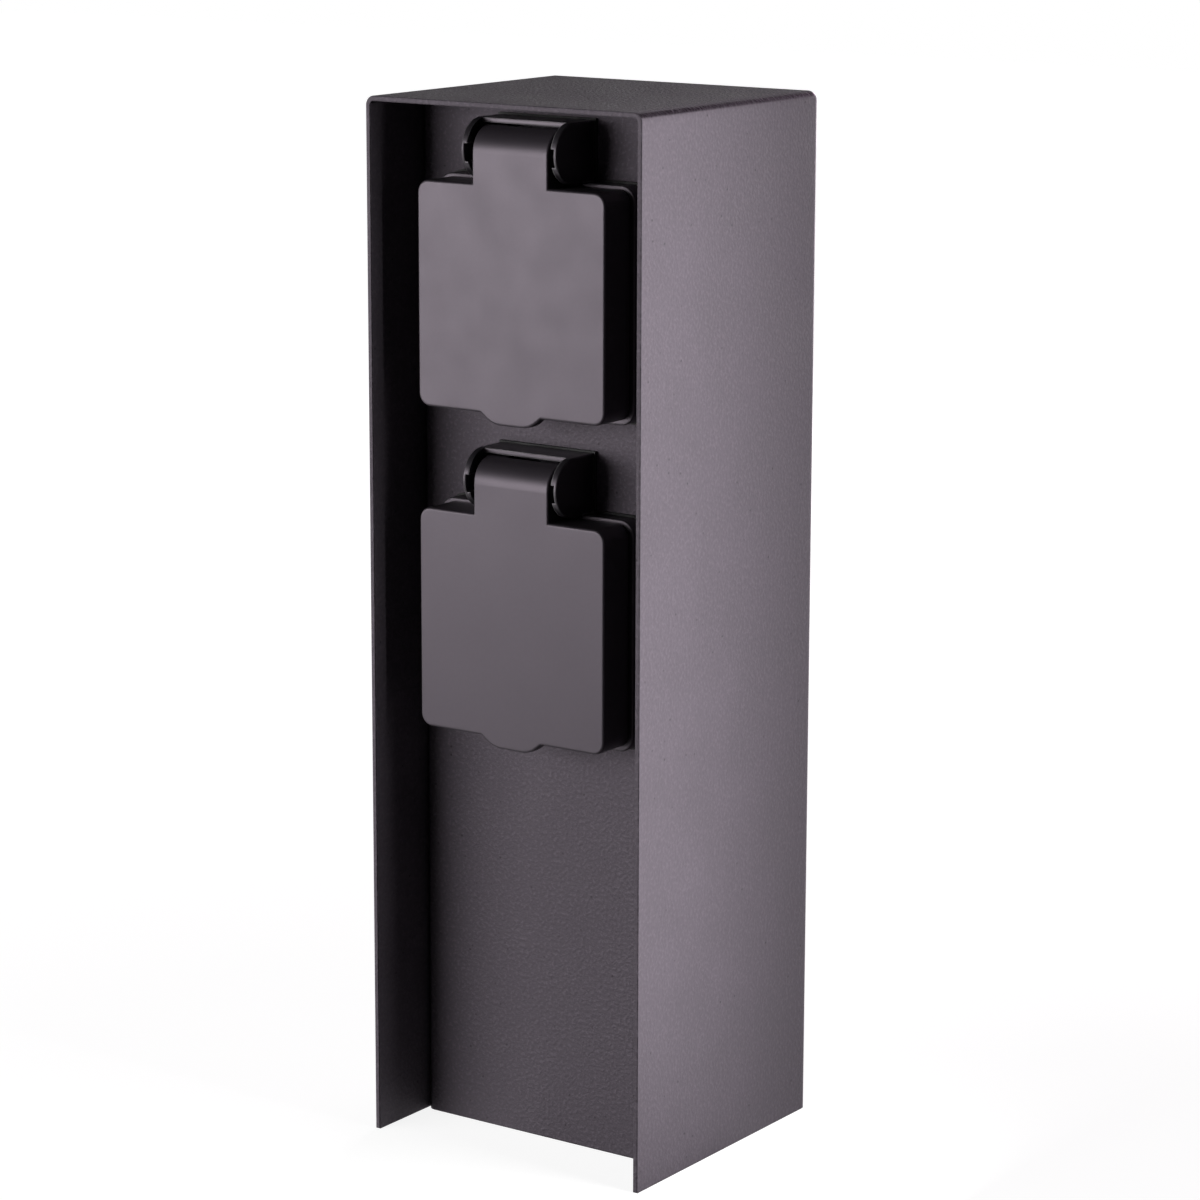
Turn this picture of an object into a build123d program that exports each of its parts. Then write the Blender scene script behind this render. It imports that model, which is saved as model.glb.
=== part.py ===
from build123d import *
import os
from math import pi, radians, sqrt, tan

os.makedirs("parts", exist_ok=True)

# Garden socket post. Millimetres, +Z up, the front faces -Y and the origin lies
# under the middle of the footprint. A depth is counted back from the front edge.

# Driving dimensions of the sheet-metal case
post_width = 77.0
post_depth = 74.0
post_height = 250.0
hood_sheet = 1.25
panel_sheet = 1.25
rear_sheet = 1.25
base_sheet = 2.0
bend_inside = 1.0
sheet_gap = 0.2
panel_top_gap = 0.5
sheet_edge = 0.25
panel_recess = 18.6
panel_flange = 16.0
lip_width = 14.0
rear_foot_gap = 0.3

# Driving dimensions of the two socket units
top_unit_gap = 4.2
unit_gap = 21.9
plug_recess_radius = 19.75
plug_recess_depth = 17.5
pin_spacing = 19.0
pin_hole_radius = 2.65
fixing_spacing = 38.0

# Socket body: flange, collar, cup and hinge block in one moulding
fixing_edge_distance = 8.6
flange_squareness = 0.6
flange_thickness = 4.4
flange_corner = 3.7
flange_edge = 0.3
collar_radius = 22.3
collar_rise = 3.3
cup_radius = 21.4
cup_floor = 4.0
cup_skirt = 2.5
cup_skirt_wall = 1.5
cup_lead_in = 2.0
guide_rib_width = 4.8
guide_rib_rise = 2.4
earth_slot_width = 6.6
earth_slot_inner = 18.2
earth_slot_outer = 20.3
earth_slot_start = 1.5
pin_hole_chamfer = 0.6
cutout_gap = 0.6
block_half_width = 13.3
cheek_thickness = 1.6
cheek_radius = 7.0
cheek_lift = 0.65
cheek_setback = 0.4
cheek_edge = 0.25
top_wall = 1.15
top_wall_lead = 0.3
hinge_back_wall = 1.5
slot_half_height = 2.1
slot_depth = 0.9
slot_neck_half = 1.35
slot_neck_length = 2.0
gasket_thickness = 0.9
gasket_margin = 0.4

# Lid, its seal, pin and spring
lid_side_inset = 1.25
lid_end_inset = 1.0
lid_lift = 0.2
lid_depth = 9.6
lid_gap = 0.3
lid_wall = 1.6
lid_front_wall = 1.8
lid_corner = 3.0
lid_edge = 0.6
hinge_above_lid = 6.95
barrel_radius = 6.1
tongue_half_width = 10.6
tongue_edge = 0.5
pin_radius = 1.5
pin_end_gap = 0.1
pin_edge = 0.2
pin_running_gap = 0.05
pin_seat_gap = 0.03
spring_pocket_radius = 4.5
spring_pocket_half_width = 4.7
spring_window_gap = 0.4
spring_window_lead = 0.9
spring_wire_radius = 0.35
spring_coil_radius = 2.55
spring_pitch = 1.15
spring_turns = 6
spring_rest_gap = 0.1
spring_seat_depth = 1.0
spring_seat_gap = 0.2
tab_root_half_width = 8.6
tab_end_half_width = 5.3
tab_drop = 2.6
tab_thickness = 2.4
tab_root_round = 0.4
tab_end_round = 7.0
seal_inner_radius = 20.3
seal_outer_radius = 22.3
seal_rim_gap = 0.15
seal_holder_wall = 1.0
seal_holder_rise = 3.2
seal_groove_depth = 2.2
seal_side_gap = 0.05

# Contact carrier, contacts and earth clip behind each cup
part_gap = 0.1
carrier_spigot_gap = 0.2
carrier_radius = 21.2
carrier_depth = 20.4
carrier_back_wall = 2.8
carrier_edge = 1.0
contact_gap = 0.2
sleeve_radius = 3.4
sleeve_bore = 2.45
sleeve_length = 15.2
terminal_half_width = 4.2
terminal_near = 2.9
terminal_far = 12.8
terminal_length = 6.0
terminal_screw_drop = 6.6
terminal_wire_drop = 10.8
terminal_wire_offset = 2.0
earth_strip_width = 6.0
earth_strip = 0.8
earth_web_gap = 0.3
earth_leg_outer = 19.4
earth_finger_tip = 4.0
earth_finger_peak = 8.0
earth_finger_root = 14.0
earth_finger_rise = 1.2
earth_tip_rise = 0.2
earth_terminal_near = 4.4
carrier_screw_x = 14.5
carrier_screw_z = 10.0
carrier_screw_bite = 2.9

# Fasteners
m3_radius = 1.5
m4_radius = 2.0
m3_clearance = 0.15
m4_clearance = 0.25
thread_gap = 0.05
pan_head_radius = 2.8
pan_head_height = 2.0
pan_head_edge = 0.5
small_head_radius = 2.6
small_head_height = 1.7
cross_width = 0.8
cross_length = 3.2
cross_depth = 1.1
flat_head_radius = 2.75
flat_head_angle = 90.0
rear_screw_length = 7.0
flange_screw_length = 10.0
terminal_screw_length = 5.6
nut_m3_width = 5.5
nut_m3_height = 2.4
nut_m4_width = 7.0
nut_m4_height = 3.2
washer_radius = 4.5
washer_thickness = 0.8
stud_length = 8.0
clinch_nut_radius = 3.1
clinch_nut_height = 3.0
clinch_spigot_radius = 2.1
clinch_spigot_length = 0.7
clinch_gap = 0.03

# Places of the case's own fasteners, as depths and heights
rear_screw_side_gap = 8.5
rear_screw_end_gap = 24.0
panel_stud_depth = 28.0
panel_stud_shares = (0.24, 0.712)
base_stud_end_gap = 4.8
base_stud_z = 14.0

# Base plate, pad and cable entry
pad_thickness = 3.0
base_front_gap = 0.5
base_back_gap = 0.5
upstand_height = 18.0
upstand_front_gap = 3.0
upstand_back_gap = 5.0
tab_half_width = 18.0
tab_top_share = 0.67
ground_hole_radius = 3.25
ground_hole_spacing_x = 46.0
ground_hole_front_depth = 29.0
ground_hole_back_gap = 13.0
pad_hole_margin = 0.35
grommet_depth = 34.5
grommet_hole_radius = 8.0
grommet_lip_radius = 10.5
grommet_lip = 1.8
grommet_cone_radius = 7.2
grommet_cone_top_radius = 6.2
grommet_height = 11.0
cable_radius = 4.5
grommet_groove_gap = 0.05

# Cable clamp, terminal block and earth stud
clamp_share = 0.28
clamp_height = 8.0
clamp_wall = 1.5
clamp_bore = 4.7
clamp_foot = 11.8
clamp_screw_x = 9.2
clamp_screw_length = 3.4
block_share = 0.52
block_width = 34.0
block_depth = 17.0
block_height = 18.0
block_edge = 0.8
pole_pitch = 10.0
pole_depth = 8.5
pillar_radius = 2.8
pillar_length = 15.6
pillar_gap = 0.1
pillar_screw_rise = 4.5
pillar_screw_hole = 2.1
pillar_screw_length = 7.4
pillar_slot = 0.6
earth_stud_x = 13.5
earth_stud_depth = 50.0
earth_stud_length = 12.0
lug_radius = 4.6
lug_sheet = 1.0
lug_neck = 3.0
lug_barrel_radius = 2.3
lug_barrel_start = 7.0
lug_barrel_length = 7.0

# Internal leads
lead_radius = 1.4
lead_hole_gap = 0.1
lead_entry = 7.6
lead_rear_gap = 2.0
lead_block_entry = 5.0
lead_bend_share = 0.45
lead_rise_share = 0.33
lead_cross_share = 0.42
lead_climb_share = 0.62
lead_back_share = 0.75
lug_entry = 5.0
lug_lead_run = 8.5
side_lead_gap = 3.6
stud_lead_shares = (0.12, 0.2)

# One overrun for every cut that has to pass a face
overrun = 5.0

# Sizes and places worked out from the sizes above
bend_outside = hood_sheet + bend_inside
flange_width = fixing_spacing + 2 * fixing_edge_distance
flange_height = flange_width - flange_squareness
lid_width = flange_width - 2 * lid_side_inset
lid_height = flange_height - 2 * lid_end_inset
front_y = -post_depth / 2
rear_y = post_depth / 2
rear_panel_back_y = rear_y - hood_sheet
rear_panel_front_y = rear_panel_back_y - rear_sheet
inner_half_width = post_width / 2 - hood_sheet
panel_half_width = inner_half_width - sheet_gap
panel_top_z = post_height - hood_sheet - panel_top_gap
panel_front_y = front_y + panel_recess
panel_back_y = panel_front_y + panel_sheet
gasket_front_y = panel_front_y - gasket_thickness
flange_front_y = gasket_front_y - flange_thickness
rim_y = flange_front_y - collar_rise
recess_floor_y = rim_y + plug_recess_depth
cup_back_y = recess_floor_y + cup_floor
skirt_back_y = cup_back_y + cup_skirt
lid_back_y = flange_front_y - lid_gap
lid_front_y = lid_back_y - lid_depth
hinge_y = lid_front_y + barrel_radius
cheek_y = hinge_y + cheek_setback
cheek_inner_x = block_half_width - cheek_thickness
spring_half_length = spring_pitch * spring_turns / 2
spring_leg_slope = spring_pitch / (2 * pi * spring_coil_radius)
carrier_front_y = cup_back_y + part_gap
carrier_back_y = carrier_front_y + carrier_depth
sleeve_front_y = carrier_front_y + contact_gap
terminal_back_y = carrier_back_y - carrier_back_wall - contact_gap
terminal_front_y = terminal_back_y - terminal_length
base_bottom_z = pad_thickness
base_top_z = base_bottom_z + base_sheet
base_front_y = panel_back_y + base_front_gap
base_back_y = rear_panel_front_y - base_back_gap
base_bend_outside = base_sheet + bend_inside
base_flat_half_width = panel_half_width - base_bend_outside
tab_back_y = base_front_y + base_sheet
grommet_y = front_y + grommet_depth
block_mid_y = tab_back_y + block_depth / 2
pole_y = tab_back_y + pole_depth

# Heights above a socket's centre
lid_top = lid_lift + lid_height / 2
hinge_rise = lid_top + hinge_above_lid
cheek_rise = hinge_rise + cheek_lift
block_top = cheek_rise + cheek_radius
block_bottom = cheek_rise - cheek_radius

# Heights above the ground, with the sockets hung from the post's top
socket_pitch = flange_height + unit_gap
upper_socket_z = post_height - top_unit_gap - block_top
lower_socket_z = upper_socket_z - socket_pitch
socket_units = {"lower": lower_socket_z, "upper": upper_socket_z}
clamp_z = clamp_share * lower_socket_z
block_mid_z = block_share * lower_socket_z
tab_top_z = tab_top_share * lower_socket_z
panel_stud_heights = [share * post_height for share in panel_stud_shares]

# Places of the fasteners in the case and the base
rear_screw_x = post_width / 2 - rear_screw_side_gap
rear_screw_heights = (rear_screw_end_gap, post_height / 2, post_height - rear_screw_end_gap)
rear_screw_places = [(x * rear_screw_x, z) for x in (-1, 1) for z in rear_screw_heights]
upstand_front_depth = panel_recess + panel_flange + upstand_front_gap
upstand_back_depth = post_depth - upstand_back_gap
base_stud_depths = (upstand_front_depth + base_stud_end_gap, upstand_back_depth - base_stud_end_gap)
ground_hole_depths = (ground_hole_front_depth, post_depth - ground_hole_back_gap)
ground_places = [
    (side * ground_hole_spacing_x / 2, front_y + depth) for side in (-1, 1) for depth in ground_hole_depths
]
lead_reach_y = rear_panel_front_y - lead_rear_gap
fixing_places = [(x * fixing_spacing / 2, z * fixing_spacing / 2) for x in (-1, 1) for z in (-1, 1)]


# Planes and small shapes shared by the pieces


def facing(y, z=0):
    """Upright plane at depth y, seen from the front: sketch X is X, sketch Y is up from z."""
    return Plane(origin=(0, y, z), x_dir=(1, 0, 0), z_dir=(0, -1, 0))


def facing_back(y, z=0):
    """Upright plane at depth y, seen from the back, where sketch X runs to -X."""
    return Plane(origin=(0, y, z), x_dir=(-1, 0, 0), z_dir=(0, 1, 0))


def hinge_plane(centre_z, x=0):
    """Plane square to a unit's hinge axis: sketch X is back, sketch Y is up from the axis."""
    return Plane(origin=(x, hinge_y, centre_z + hinge_rise), x_dir=(0, 1, 0), z_dir=(1, 0, 0))


def write(builder, name):
    """Labels a finished piece and writes it under its node name."""
    builder.part.label = name
    export_step(builder.part, f"parts/{name}.step")


def pan_screw(length, head_radius=pan_head_radius, head_height=pan_head_height, radius=m3_radius):
    """Cross-recess screw whose head stands on z = 0 and whose shank runs down from it."""
    with BuildPart() as screw:
        with BuildSketch(Plane.XY):
            Circle(head_radius)
        extrude(amount=head_height)
        fillet(screw.faces().sort_by(Axis.Z)[-1].edges(), pan_head_edge)
        with BuildSketch(Plane.XY):
            Circle(radius)
        extrude(amount=-length)
        with BuildSketch(Plane.XY.offset(head_height)):
            Rectangle(cross_length, cross_width)
            Rectangle(cross_width, cross_length)
        extrude(amount=-cross_depth, mode=Mode.SUBTRACT)
    return screw.part


def flat_screw(length):
    """Countersunk screw whose flat head lies in z = 0 and whose shank runs down from it."""
    head_depth = flat_head_radius - m3_radius
    with BuildPart() as screw:
        with BuildSketch(Plane.XZ):
            with BuildLine():
                Polyline(
                    (0, 0),
                    (flat_head_radius, 0),
                    (m3_radius, -head_depth),
                    (m3_radius, -length),
                    (0, -length),
                    close=True,
                )
            make_face()
        revolve(axis=Axis.Z)
        with BuildSketch(Plane.XY):
            Rectangle(cross_length, cross_width)
            Rectangle(cross_width, cross_length)
        extrude(amount=-cross_depth, mode=Mode.SUBTRACT)
    return screw.part


def hex_nut(width, height, radius):
    """Hexagon nut standing on z = 0, its bore left wider than the thread that it takes."""
    with BuildPart() as nut:
        with BuildSketch(Plane.XY):
            RegularPolygon(width / 2, 6, major_radius=False)
            Circle(radius + thread_gap, mode=Mode.SUBTRACT)
        extrude(amount=height)
    return nut.part


def washer(radius):
    """Flat washer standing on z = 0."""
    with BuildPart() as ring:
        with BuildSketch(Plane.XY):
            Circle(washer_radius)
            Circle(radius + m4_clearance, mode=Mode.SUBTRACT)
        extrude(amount=washer_thickness)
    return ring.part


def cord(points, radius):
    """Tube along straight runs joined by tangent arcs as large as the runs allow."""
    places = [Vector(*point) for point in points]
    bends = []
    for before, here, after in zip(places, places[1:], places[2:]):
        turn = radians((here - before).get_angle(after - here))
        shorter = min((here - before).length, (after - here).length)
        bends.append(lead_bend_share * shorter / tan(turn / 2))
    print("lead bend radii", [round(bend, 1) for bend in bends])
    with BuildPart() as tube:
        with BuildLine() as route:
            FilletPolyline(*places, radius=bends)
        start = places[0]
        with BuildSketch(Plane(origin=start, z_dir=places[1] - start)):
            Circle(radius)
        sweep(path=route.wire())
    return tube.part


# Folded hood: top and two sides, with a bent-in lip round the rear and its corners welded and ground


def bent_box(width, depth, height, radius):
    """Box that stands on z = 0 behind the front edge, its top and rear edges bent to one radius."""
    with BuildPart() as box:
        with Locations((0, front_y + depth / 2, height / 2)):
            Box(width, depth, height)
        side_bends = box.edges().filter_by(Axis.Y).group_by(Axis.Z)[-1]
        rear_bends = box.edges().group_by(Axis.Y)[-1].sort_by(Axis.Z)[1:]
        fillet(side_bends + rear_bends, radius)
    return box.part


def make_outer_hood():
    outside = bent_box(post_width, post_depth, post_height, bend_outside)
    inside = bent_box(2 * inner_half_width, post_depth - hood_sheet, post_height - hood_sheet, bend_inside)
    with BuildPart() as hood:
        add(outside)
        add(inside, mode=Mode.SUBTRACT)
        with BuildSketch(facing_back(rear_y)):
            with Locations((0, (post_height - lip_width) / 2)):
                Rectangle(post_width - 2 * lip_width, post_height - lip_width)
        extrude(amount=-2 * hood_sheet, mode=Mode.SUBTRACT)
        with Locations(*[facing_back(rear_y).location * Pos(x, z, 0) for x, z in rear_screw_places]):
            CounterSinkHole(
                m3_radius + m3_clearance,
                flat_head_radius + m3_clearance,
                depth=2 * hood_sheet,
                counter_sink_angle=flat_head_angle,
            )
        fillet(hood.edges().group_by(Axis.Y)[0], sheet_edge)
    write(hood, "outer_hood")


# Recessed front panel: a channel whose flanges run back along the hood's sides


def make_front_panel():
    panel_bend = panel_sheet + bend_inside
    with BuildPart() as panel:
        with BuildSketch(Plane.XY) as outside:
            with Locations((0, panel_front_y + panel_flange / 2)):
                Rectangle(2 * panel_half_width, panel_flange)
            fillet(outside.vertices().group_by(Axis.Y)[0], panel_bend)
        extrude(amount=panel_top_z)
        with BuildSketch(Plane.XY) as inside:
            with Locations((0, panel_back_y + panel_flange / 2)):
                Rectangle(2 * (panel_half_width - panel_sheet), panel_flange)
            fillet(inside.vertices().group_by(Axis.Y)[0], bend_inside)
        extrude(amount=panel_top_z, mode=Mode.SUBTRACT)
        for centre_z in socket_units.values():
            with BuildSketch(facing(panel_front_y, centre_z)):
                Circle(cup_radius + cutout_gap)
                with Locations(*fixing_places):
                    Circle(m3_radius + m3_clearance)
            extrude(amount=-2 * panel_sheet, mode=Mode.SUBTRACT)
        with BuildSketch(Plane.YZ.offset(-post_width / 2)):
            with Locations(*[(front_y + panel_stud_depth, z) for z in panel_stud_heights]):
                Circle(m4_radius + m4_clearance)
        extrude(amount=post_width, mode=Mode.SUBTRACT)
    write(panel, "front_panel")


# Flat rear panel inside the hood's lips, held by countersunk screws into nuts pressed in the panel


def make_rear_panel():
    half_width = inner_half_width - bend_inside - sheet_gap
    top_z = post_height - hood_sheet - bend_inside - sheet_gap
    with BuildPart(facing_back(rear_panel_back_y)) as panel:
        with Locations((0, (top_z + rear_foot_gap) / 2, -rear_sheet / 2)):
            Box(2 * half_width, top_z - rear_foot_gap, rear_sheet)
        fillet(panel.edges().filter_by(Axis.Y).group_by(Axis.Z)[-1], bend_inside)
        with Locations(*rear_screw_places):
            Hole(clinch_spigot_radius + clinch_gap)
    write(panel, "rear_panel")


def make_rear_panel_screws():
    screw = flat_screw(rear_screw_length)
    with BuildPart(facing_back(rear_y)) as screws:
        with Locations(*rear_screw_places):
            add(screw)
    write(screws, "rear_panel_screws")


def make_clinch_nuts():
    with BuildPart(facing_back(rear_panel_front_y)) as nuts:
        with Locations(*[(x, z, -clinch_nut_height / 2) for x, z in rear_screw_places]):
            Cylinder(clinch_nut_radius, clinch_nut_height)
        with Locations(*[(x, z, clinch_spigot_length / 2) for x, z in rear_screw_places]):
            Cylinder(clinch_spigot_radius, clinch_spigot_length)
        with Locations(*rear_screw_places):
            Cylinder(m3_radius + thread_gap, 2 * clinch_nut_height + overrun, mode=Mode.SUBTRACT)
    write(nuts, "clinch_nuts")


# Studs welded to the inside of the hood's sides, with their washers and nuts


def side_places(depth_list, heights, x_inside):
    """Locations on both inner side faces, with +Z of each pointing into the post."""
    return [
        Plane(origin=(side * x_inside, front_y + depth, z), x_dir=(0, 1, 0), z_dir=(-side, 0, 0)).location
        for side in (-1, 1)
        for depth in depth_list
        for z in heights
    ]


def make_side_fasteners():
    stud_spots = side_places((panel_stud_depth,), panel_stud_heights, inner_half_width)
    stud_spots += side_places(base_stud_depths, (base_stud_z,), inner_half_width)
    washer_spots = side_places((panel_stud_depth,), panel_stud_heights, panel_half_width - panel_sheet)
    washer_spots += side_places(base_stud_depths, (base_stud_z,), panel_half_width - base_sheet)
    with BuildPart() as studs:
        with Locations(*stud_spots):
            Cylinder(m4_radius, stud_length, align=(Align.CENTER, Align.CENTER, Align.MIN))
    write(studs, "weld_studs")
    with BuildPart() as washers:
        with Locations(*washer_spots):
            add(washer(m4_radius))
    write(washers, "stud_washers")
    with BuildPart() as nuts:
        with Locations(*[spot * Location((0, 0, washer_thickness)) for spot in washer_spots]):
            add(hex_nut(nut_m4_width, nut_m4_height, m4_radius))
    write(nuts, "stud_nuts")


# Base: a folded plate on a rubber pad, with side upstands and a tall front tab


def make_base_plate():
    base_depth = base_back_y - base_front_y
    upstand_y = front_y + upstand_front_depth
    with BuildPart() as base:
        with BuildSketch(Plane.XY.offset(base_bottom_z)):
            with Locations((0, (base_front_y + base_bend_outside + base_back_y) / 2)):
                Rectangle(2 * base_flat_half_width, base_depth - base_bend_outside)
        extrude(amount=base_sheet)
        with BuildSketch(facing(upstand_y)) as trough:
            with Locations((0, base_bottom_z + upstand_height / 2)):
                Rectangle(2 * panel_half_width, upstand_height)
            fillet(trough.vertices().group_by(Axis.Y)[0], base_bend_outside)
        extrude(amount=-(upstand_back_depth - upstand_front_depth))
        with BuildSketch(facing(upstand_y)) as trough_inside:
            with Locations((0, base_top_z + upstand_height / 2)):
                Rectangle(2 * (panel_half_width - base_sheet), upstand_height)
            fillet(trough_inside.vertices().group_by(Axis.Y)[0], bend_inside)
        extrude(amount=-(upstand_back_depth - upstand_front_depth), mode=Mode.SUBTRACT)
        with BuildSketch(Plane.YZ) as corner:
            with Locations((base_front_y + base_bend_outside, (base_bottom_z + tab_top_z) / 2)):
                Rectangle(2 * base_bend_outside, tab_top_z - base_bottom_z)
            fillet(corner.vertices().group_by(Axis.Y)[0].sort_by(Axis.X)[0], base_bend_outside)
        extrude(amount=tab_half_width, both=True)
        with BuildSketch(Plane.YZ) as corner_inside:
            with Locations((tab_back_y + base_bend_outside, (base_top_z + tab_top_z + overrun) / 2)):
                Rectangle(2 * base_bend_outside, tab_top_z + overrun - base_top_z)
            fillet(corner_inside.vertices().group_by(Axis.Y)[0].sort_by(Axis.X)[0], bend_inside)
        extrude(amount=tab_half_width, both=True, mode=Mode.SUBTRACT)
        with BuildSketch(Plane.XY.offset(base_bottom_z)):
            with Locations(*ground_places):
                Circle(ground_hole_radius)
            with Locations((0, grommet_y)):
                Circle(grommet_hole_radius)
        extrude(amount=base_sheet, mode=Mode.SUBTRACT)
        with BuildSketch(Plane.YZ.offset(-post_width / 2)):
            with Locations(*[(front_y + depth, base_stud_z) for depth in base_stud_depths]):
                Circle(m4_radius + m4_clearance)
        extrude(amount=post_width, mode=Mode.SUBTRACT)
        with BuildSketch(facing(base_front_y)):
            with Locations(
                *[(side * clamp_screw_x, clamp_z) for side in (-1, 1)],
                *[(side * pole_pitch / 2, block_mid_z) for side in (-1, 1)],
            ):
                Circle(m3_radius + thread_gap)
        extrude(amount=-base_sheet, mode=Mode.SUBTRACT)
    write(base, "base_plate")


def make_base_pad():
    with BuildPart() as pad:
        with BuildSketch(Plane.XY):
            with Locations((0, (base_front_y + base_back_y) / 2)):
                Rectangle(2 * base_flat_half_width, base_back_y - base_front_y)
            with Locations(*ground_places):
                Circle(ground_hole_radius + pad_hole_margin, mode=Mode.SUBTRACT)
            with Locations((0, grommet_y)):
                Circle(grommet_lip_radius + pad_hole_margin, mode=Mode.SUBTRACT)
        extrude(amount=pad_thickness)
    write(pad, "base_pad")


def make_cable_grommet():
    lip_bottom_z = base_bottom_z - grommet_groove_gap - grommet_lip
    groove_bottom_z = base_bottom_z - grommet_groove_gap
    groove_top_z = base_top_z + grommet_groove_gap
    lip_top_z = groove_top_z + grommet_lip
    neck_radius = grommet_hole_radius - grommet_groove_gap
    with BuildPart() as grommet:
        with BuildSketch(facing(grommet_y)):
            with BuildLine():
                Polyline(
                    (cable_radius, lip_bottom_z),
                    (grommet_lip_radius, lip_bottom_z),
                    (grommet_lip_radius, groove_bottom_z),
                    (neck_radius, groove_bottom_z),
                    (neck_radius, groove_top_z),
                    (grommet_lip_radius, groove_top_z),
                    (grommet_lip_radius, lip_top_z),
                    (grommet_cone_radius, lip_top_z),
                    (grommet_cone_top_radius, base_top_z + grommet_height),
                    (cable_radius, base_top_z + grommet_height),
                    close=True,
                )
            make_face()
        revolve(axis=Axis((0, grommet_y, 0), (0, 0, 1)))
    write(grommet, "cable_grommet")


# Cable clamp on the tab: a strap bent round the cable's space


def make_cable_clamp():
    arch_y = tab_back_y + clamp_bore
    with BuildPart() as clamp:
        with BuildSketch(Plane.XY.offset(clamp_z - clamp_height / 2)):
            with Locations((0, arch_y)):
                Circle(clamp_bore + clamp_wall)
            with Locations((0, (tab_back_y + arch_y) / 2)):
                Rectangle(2 * (clamp_bore + clamp_wall), clamp_bore)
            with Locations((0, tab_back_y + clamp_wall / 2)):
                Rectangle(2 * clamp_foot, clamp_wall)
            with Locations((0, arch_y)):
                Circle(clamp_bore, mode=Mode.SUBTRACT)
            with Locations((0, tab_back_y)):
                Rectangle(2 * clamp_bore, 2 * clamp_bore, mode=Mode.SUBTRACT)
            with Locations((0, tab_back_y - overrun)):
                Rectangle(2 * clamp_foot, 2 * overrun, mode=Mode.SUBTRACT)
        extrude(amount=clamp_height)
        with BuildSketch(facing(tab_back_y, clamp_z)):
            with Locations((-clamp_screw_x, 0), (clamp_screw_x, 0)):
                Circle(m3_radius + m3_clearance)
        extrude(amount=-clamp_wall, mode=Mode.SUBTRACT)
    write(clamp, "cable_clamp")
    with BuildPart(facing_back(tab_back_y + clamp_wall, clamp_z)) as screws:
        with Locations((-clamp_screw_x, 0), (clamp_screw_x, 0)):
            add(pan_screw(clamp_screw_length, small_head_radius, small_head_height))
    write(screws, "cable_clamp_screws")


# Three-pole terminal block on the tab


def make_terminal_block():
    poles = [(pole * pole_pitch, pole_y) for pole in (-1, 0, 1)]
    screw_places = [
        (pole * pole_pitch, rise * pillar_screw_rise) for pole in (-1, 0, 1) for rise in (-1, 1)
    ]
    fixings = [(-pole_pitch / 2, 0), (pole_pitch / 2, 0)]
    block_back_y = tab_back_y + block_depth
    with BuildPart() as block:
        with Locations((0, block_mid_y, block_mid_z)):
            Box(block_width, block_depth, block_height)
        fillet(block.edges().filter_by(Axis.Z), block_edge)
        with Locations(*[(x, y, block_mid_z) for x, y in poles]):
            Cylinder(pillar_radius + pillar_gap, block_height, mode=Mode.SUBTRACT)
        with BuildSketch(facing_back(block_back_y, block_mid_z)):
            with Locations(*screw_places):
                Circle(pillar_screw_hole)
        extrude(amount=-(block_depth - pole_depth), mode=Mode.SUBTRACT)
        with BuildSketch(facing_back(block_back_y, block_mid_z)):
            with Locations(*fixings):
                Circle(m3_radius + m3_clearance)
        extrude(amount=-block_depth, mode=Mode.SUBTRACT)
    write(block, "terminal_block")
    with BuildPart() as pillars:
        with Locations(*[(x, y, block_mid_z) for x, y in poles]):
            Cylinder(pillar_radius, pillar_length)
            Cylinder(lead_radius + lead_hole_gap, pillar_length, mode=Mode.SUBTRACT)
        with BuildSketch(facing_back(block_back_y, block_mid_z)):
            with Locations(*screw_places):
                Circle(m3_radius + thread_gap)
        extrude(amount=-(block_depth - pole_depth), mode=Mode.SUBTRACT)
    write(pillars, "terminal_pillars")
    screw_end_y = pole_y + lead_radius + lead_hole_gap
    with BuildPart(facing_back(screw_end_y, block_mid_z)) as screws:
        with Locations(*[(x, z, pillar_screw_length / 2) for x, z in screw_places]):
            Cylinder(m3_radius, pillar_screw_length)
        with Locations(*[(x, z, pillar_screw_length) for x, z in screw_places]):
            Box(2 * m3_radius, pillar_slot, 2 * pillar_slot, mode=Mode.SUBTRACT)
    write(screws, "terminal_pillar_screws")
    with BuildPart(facing_back(block_back_y, block_mid_z)) as fixing_screws:
        with Locations(*fixings):
            add(pan_screw(block_depth + base_sheet, small_head_radius, small_head_height))
    write(fixing_screws, "terminal_block_screws")


# Earth stud on the base plate, with washers, crimped lug and nut


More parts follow.
